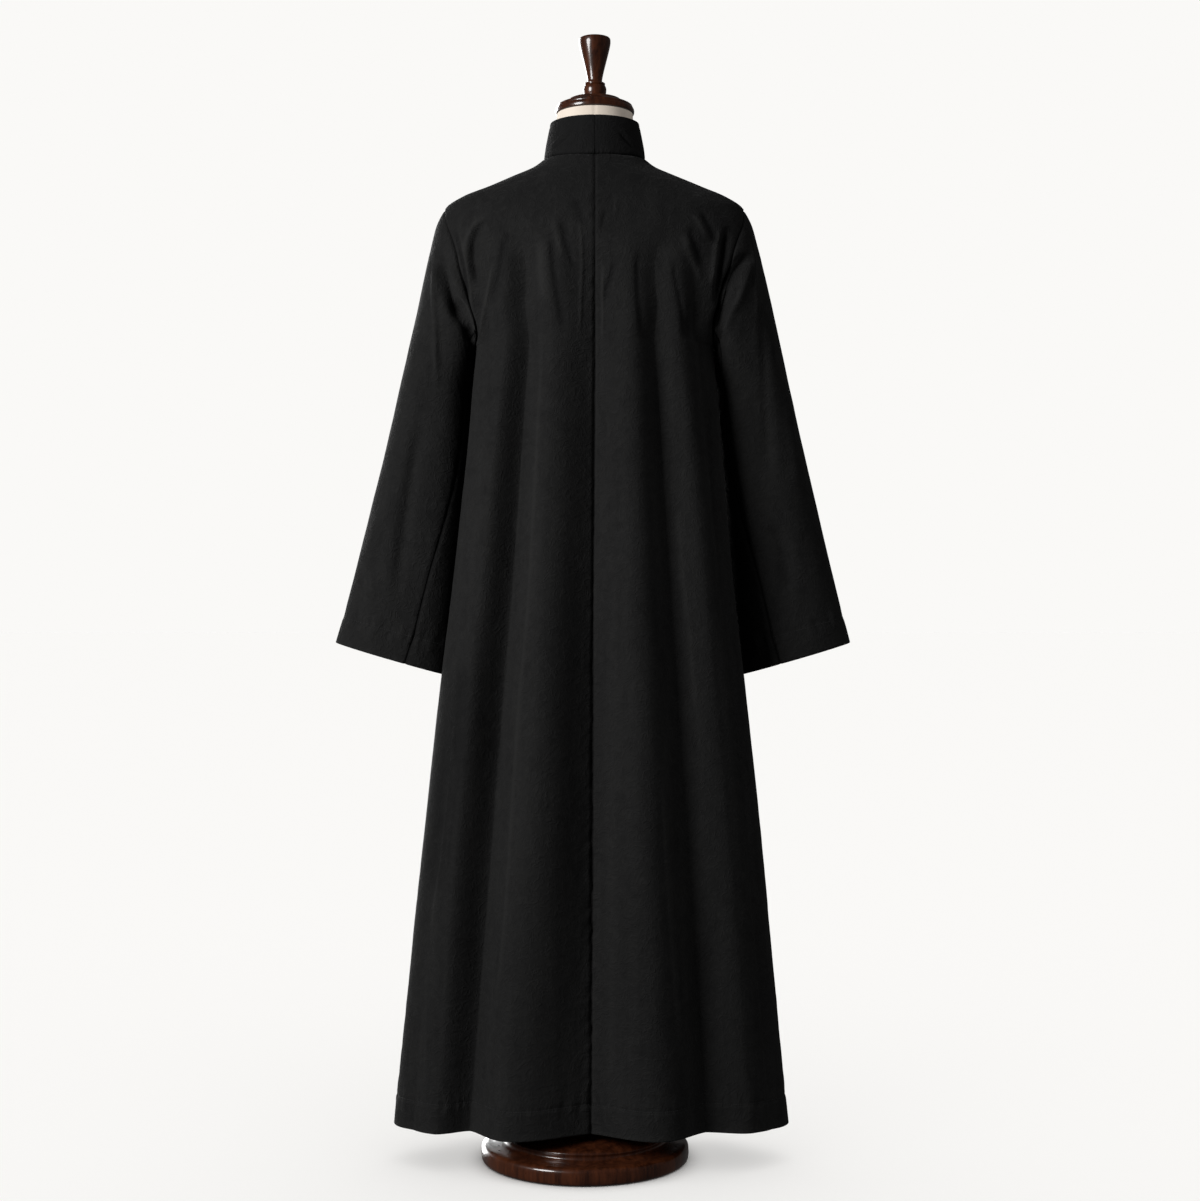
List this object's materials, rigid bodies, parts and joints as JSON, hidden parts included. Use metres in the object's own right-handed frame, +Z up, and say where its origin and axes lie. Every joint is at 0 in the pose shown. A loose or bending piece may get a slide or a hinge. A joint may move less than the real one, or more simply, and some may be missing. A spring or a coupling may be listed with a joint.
{
  "type": "cassock on a dress form",
  "caption": "Long plain black cassock with a stand collar, set-in sleeves and a buttoned front, worn by a limbless dress form on a turned wooden stand.",
  "frame": {"origin": "centre of the stand's base on its underside", "axes": "+Z up; the garment's front faces -Y and its back +Y; the wearer's left is +X"},
  "size_m": [0.7861, 0.31, 1.6772],
  "materials": {
    "cloth": "matte washed black cotton with a fine crinkle and a slight sheen at grazing angles",
    "buttons": "black, lightly domed, satin",
    "form_cloth": "cream plain-woven cover, stretched smooth over the form",
    "stand_wood": "turned wood, dark reddish-brown stain under glossy varnish"
  },
  "bodies": {
    "root": {"back_left": "cloth", "back_right": "cloth", "front_left": "cloth", "front_right": "cloth", "sleeve_upper_left": "cloth", "sleeve_under_left": "cloth", "sleeve_upper_right": "cloth", "sleeve_under_right": "cloth", "collar_left": "cloth", "collar_right": "cloth", "button_01": "buttons", "button_02": "buttons", "button_03": "buttons", "button_04": "buttons", "button_05": "buttons", "button_06": "buttons", "button_07": "buttons", "button_08": "buttons", "button_09": "buttons", "button_10": "buttons", "button_11": "buttons", "button_12": "buttons", "button_13": "buttons", "button_14": "buttons", "button_15": "buttons", "button_16": "buttons", "button_17": "buttons", "button_18": "buttons", "button_19": "buttons", "button_20": "buttons", "form_torso": "form_cloth", "neck_cap": "stand_wood", "finial": "stand_wood", "stand_column": "stand_wood", "stand_base": "stand_wood"}
  },
  "joints": []
}
